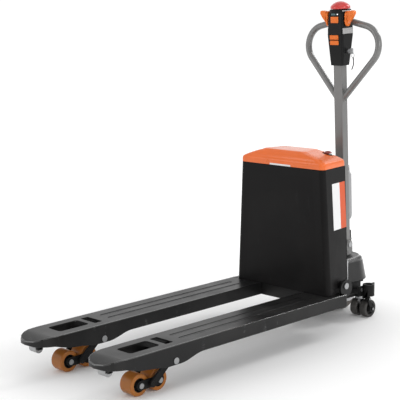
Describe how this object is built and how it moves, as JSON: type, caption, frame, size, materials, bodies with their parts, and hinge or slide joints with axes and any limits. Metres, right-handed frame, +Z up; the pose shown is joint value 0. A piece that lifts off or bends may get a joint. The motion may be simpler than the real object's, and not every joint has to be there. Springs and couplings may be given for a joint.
{
  "type": "electric pallet truck",
  "caption": "Walk-behind electric pallet truck: low lifting forks on load rollers, battery box with hinged lid, steered drive wheel, swivel castors and a tiller with control head.",
  "frame": {"origin": "on the floor, under the middle of the overall box, in the rest pose with the forks part raised", "axes": "+X from the fork tips to the tiller, +Y across the truck towards the side without the key, +Z up"},
  "size_m": [1.65, 0.5552, 1.3277],
  "materials": {
    "chassis_black": "satin black paint",
    "cover_grey": "textured dark grey",
    "steel": "machined",
    "zinc": "bright zinc",
    "pump_grey": "semi-gloss",
    "fork_paint": "satin charcoal powder coat",
    "box_paint": "satin black powder coat",
    "battery_case": "matt grey",
    "aluminium": "raw",
    "charger_grey": "satin",
    "stop_red": "gloss red",
    "black_plastic": "fine texture",
    "lid_orange": "gloss orange",
    "polyurethane": "amber polyurethane",
    "castor_rubber": "black",
    "drive_rubber": "dark polyurethane",
    "motor_black": "satin",
    "cast_grey": "grey paint",
    "tiller_grey": "satin grey",
    "band_grey": "satin",
    "key_orange": "satin orange",
    "belly_red": "gloss red"
  },
  "bodies": {
    "base": {"chassis": "chassis_black", "drive_cover": "cover_grey", "slew_ring": "steel", "pump_unit": "pump_grey", "lift_cylinder": "chassis_black", "chassis_bolts": "zinc"},
    "lift_frame": {"lift_ram": "zinc", "fork_right": "fork_paint", "fork_left": "fork_paint", "heel_frame": "fork_paint", "battery_box": "box_paint", "batteries": "battery_case", "controller": "aluminium", "charger": "charger_grey", "frame_bolts": "zinc", "pivot_pins": "zinc"},
    "lid": {"lid": "lid_orange", "emergency_stop_collar": "black_plastic"},
    "emergency_stop": {"emergency_stop": "stop_red"},
    "rocker": {"rocker": "chassis_black"},
    "push_rod_right": {"push_rod_right": "steel"},
    "push_rod_left": {"push_rod_left": "steel"},
    "load_arm_right": {"load_arm_right": "chassis_black"},
    "load_arm_left": {"load_arm_left": "chassis_black"},
    "bogie_right": {"bogie_right": "chassis_black", "bogie_bolts_right": "zinc"},
    "bogie_left": {"bogie_left": "chassis_black", "bogie_bolts_left": "zinc"},
    "steering": {"drive_gearbox": "cast_grey", "drive_motor": "motor_black", "tiller_base": "cast_grey", "tiller_pin": "zinc"},
    "drive_wheel": {"drive_wheel": "drive_rubber"},
    "tiller": {"tiller_mast": "tiller_grey", "handle_loop": "tiller_grey", "control_head": "black_plastic", "head_band": "band_grey", "gas_spring": "band_grey"},
    "load_roller_right_front": {"load_roller_right_front": "polyurethane"},
    "load_roller_right_rear": {"load_roller_right_rear": "polyurethane"},
    "entry_roller_right": {"entry_roller_right": "steel"},
    "load_roller_left_front": {"load_roller_left_front": "polyurethane"},
    "load_roller_left_rear": {"load_roller_left_rear": "polyurethane"},
    "entry_roller_left": {"entry_roller_left": "steel"},
    "gas_spring_rod": {"gas_spring_rod": "chassis_black"},
    "throttle": {"throttle": "key_orange"},
    "belly_button": {"belly_button": "belly_red"},
    "lift_button": {"lift_button": "key_orange"},
    "lower_button": {"lower_button": "key_orange"},
    "horn_button": {"horn_button": "key_orange"},
    "ignition_key": {"ignition_key": "zinc"},
    "castor_right": {"castor_fork_right": "zinc", "castor_guard_right": "chassis_black"},
    "castor_wheel_right_outer": {"castor_wheel_right_outer": "castor_rubber"},
    "castor_wheel_right_inner": {"castor_wheel_right_inner": "castor_rubber"},
    "castor_left": {"castor_fork_left": "zinc", "castor_guard_left": "chassis_black"},
    "castor_wheel_left_outer": {"castor_wheel_left_outer": "castor_rubber"},
    "castor_wheel_left_inner": {"castor_wheel_left_inner": "castor_rubber"}
  },
  "joints": [
    {"name": "lift", "type": "slide", "parent": "base", "child": "lift_frame", "axis": [0, 0, 1], "range_m": [-0.08, 0.02]},
    {"name": "rocker_turn", "type": "hinge", "parent": "lift_frame", "child": "rocker", "pos_m": [0.424, 0, 0.196], "axis": [0, 1, 0], "range_deg": [-23.6, 6.8]},
    {"name": "push_rod_right_slide", "type": "slide", "parent": "lift_frame", "child": "push_rod_right", "axis": [-1, 0, 0], "range_m": [-0.0236, 0.0068]},
    {"name": "load_arm_right_pivot", "type": "hinge", "parent": "lift_frame", "child": "load_arm_right", "pos_m": [-0.524, -0.195, 0.1088], "axis": [0, 1, 0], "range_deg": [-12.8, 48.4]},
    {"name": "bogie_right_pivot", "type": "hinge", "parent": "load_arm_right", "child": "bogie_right", "pos_m": [-0.6076, -0.195, 0.04], "axis": [0, 1, 0], "range_deg": [-48.4, 12.8]},
    {"name": "load_roller_right_front_spin", "type": "hinge", "parent": "bogie_right", "child": "load_roller_right_front", "pos_m": [-0.6516, -0.195, 0.04], "axis": [0, 1, 0], "continuous": true},
    {"name": "load_roller_right_rear_spin", "type": "hinge", "parent": "bogie_right", "child": "load_roller_right_rear", "pos_m": [-0.5636, -0.195, 0.04], "axis": [0, 1, 0], "continuous": true},
    {"name": "entry_roller_right_spin", "type": "hinge", "parent": "lift_frame", "child": "entry_roller_right", "pos_m": [-0.777, -0.195, 0.115], "axis": [0, 1, 0], "continuous": true},
    {"name": "push_rod_left_slide", "type": "slide", "parent": "lift_frame", "child": "push_rod_left", "axis": [-1, 0, 0], "range_m": [-0.0236, 0.0068]},
    {"name": "load_arm_left_pivot", "type": "hinge", "parent": "lift_frame", "child": "load_arm_left", "pos_m": [-0.524, 0.195, 0.1088], "axis": [0, 1, 0], "range_deg": [-12.8, 48.4]},
    {"name": "bogie_left_pivot", "type": "hinge", "parent": "load_arm_left", "child": "bogie_left", "pos_m": [-0.6076, 0.195, 0.04], "axis": [0, 1, 0], "range_deg": [-48.4, 12.8]},
    {"name": "load_roller_left_front_spin", "type": "hinge", "parent": "bogie_left", "child": "load_roller_left_front", "pos_m": [-0.6516, 0.195, 0.04], "axis": [0, 1, 0], "continuous": true},
    {"name": "load_roller_left_rear_spin", "type": "hinge", "parent": "bogie_left", "child": "load_roller_left_rear", "pos_m": [-0.5636, 0.195, 0.04], "axis": [0, 1, 0], "continuous": true},
    {"name": "entry_roller_left_spin", "type": "hinge", "parent": "lift_frame", "child": "entry_roller_left", "pos_m": [-0.777, 0.195, 0.115], "axis": [0, 1, 0], "continuous": true},
    {"name": "lid_hinge", "type": "hinge", "parent": "lift_frame", "child": "lid", "pos_m": [0.499, 0, 0.686], "axis": [0, 1, 0], "range_deg": [0, 95]},
    {"name": "emergency_stop_press", "type": "slide", "parent": "lid", "child": "emergency_stop", "axis": [0, 0, -1], "range_m": [0, 0.004], "stiffness_N_per_m": 800, "springref_m": -0.002},
    {"name": "steering", "type": "hinge", "parent": "base", "child": "steering", "pos_m": [0.715, 0, 0.206], "axis": [0, 0, 1], "range_deg": [-90, 90]},
    {"name": "drive_wheel_spin", "type": "hinge", "parent": "steering", "child": "drive_wheel", "pos_m": [0.715, 0, 0.085], "axis": [0, 1, 0], "continuous": true},
    {"name": "tiller_tilt", "type": "hinge", "parent": "steering", "child": "tiller", "pos_m": [0.736, 0, 0.285], "axis": [0, 1, 0], "range_deg": [0, 76], "stiffness_Nm_per_rad": 55, "springref_deg": -20.05},
    {"name": "gas_spring_stroke", "type": "slide", "parent": "tiller", "child": "gas_spring_rod", "axis": [-0.0366, 0, 0.9993], "range_m": [-0.001, 0.0485]},
    {"name": "throttle_turn", "type": "hinge", "parent": "tiller", "child": "throttle", "pos_m": [0.69246, 0, 1.25405], "axis": [0, 1, 0], "range_deg": [-25, 25], "stiffness_Nm_per_rad": 0.6},
    {"name": "belly_button_press", "type": "slide", "parent": "tiller", "child": "belly_button", "axis": [0.0366, 0, -0.9993], "range_m": [0, 0.006], "stiffness_N_per_m": 900, "springref_m": -0.002},
    {"name": "lift_button_press", "type": "slide", "parent": "tiller", "child": "lift_button", "axis": [0.9993, 0, 0.0366], "range_m": [0, 0.003], "stiffness_N_per_m": 300, "springref_m": -0.001},
    {"name": "lower_button_press", "type": "slide", "parent": "tiller", "child": "lower_button", "axis": [0.9993, 0, 0.0366], "range_m": [0, 0.003], "stiffness_N_per_m": 300, "springref_m": -0.001},
    {"name": "horn_button_press", "type": "slide", "parent": "tiller", "child": "horn_button", "axis": [0.9993, 0, 0.0366], "range_m": [0, 0.003], "stiffness_N_per_m": 300, "springref_m": -0.001},
    {"name": "ignition_key_turn", "type": "hinge", "parent": "tiller", "child": "ignition_key", "pos_m": [0.70936, -0.036, 1.12058], "axis": [0, -1, 0], "range_deg": [0, 60]},
    {"name": "castor_right_swivel", "type": "hinge", "parent": "base", "child": "castor_right", "pos_m": [0.663, -0.152, 0.09], "axis": [0, 0, 1], "continuous": true},
    {"name": "castor_wheel_right_outer_spin", "type": "hinge", "parent": "castor_right", "child": "castor_wheel_right_outer", "pos_m": [0.679, -0.1765, 0.038], "axis": [0, 1, 0], "continuous": true},
    {"name": "castor_wheel_right_inner_spin", "type": "hinge", "parent": "castor_right", "child": "castor_wheel_right_inner", "pos_m": [0.679, -0.1275, 0.038], "axis": [0, 1, 0], "continuous": true},
    {"name": "castor_left_swivel", "type": "hinge", "parent": "base", "child": "castor_left", "pos_m": [0.663, 0.152, 0.09], "axis": [0, 0, 1], "continuous": true},
    {"name": "castor_wheel_left_outer_spin", "type": "hinge", "parent": "castor_left", "child": "castor_wheel_left_outer", "pos_m": [0.679, 0.1765, 0.038], "axis": [0, 1, 0], "continuous": true},
    {"name": "castor_wheel_left_inner_spin", "type": "hinge", "parent": "castor_left", "child": "castor_wheel_left_inner", "pos_m": [0.679, 0.1275, 0.038], "axis": [0, 1, 0], "continuous": true}
  ],
  "couplings": [
    {"joint": "rocker_turn", "follows": "lift", "rad_per_m": 4.8951},
    {"joint": "gas_spring_stroke", "follows": "tiller_tilt", "m_per_rad": 0.0353},
    {"joint": "push_rod_right_slide", "follows": "lift", "ratio": 0.28},
    {"joint": "load_arm_right_pivot", "follows": "lift", "rad_per_m": -10.3},
    {"joint": "bogie_right_pivot", "follows": "lift", "rad_per_m": 10.3},
    {"joint": "push_rod_left_slide", "follows": "lift", "ratio": 0.28},
    {"joint": "load_arm_left_pivot", "follows": "lift", "rad_per_m": -10.3},
    {"joint": "bogie_left_pivot", "follows": "lift", "rad_per_m": 10.3}
  ]
}
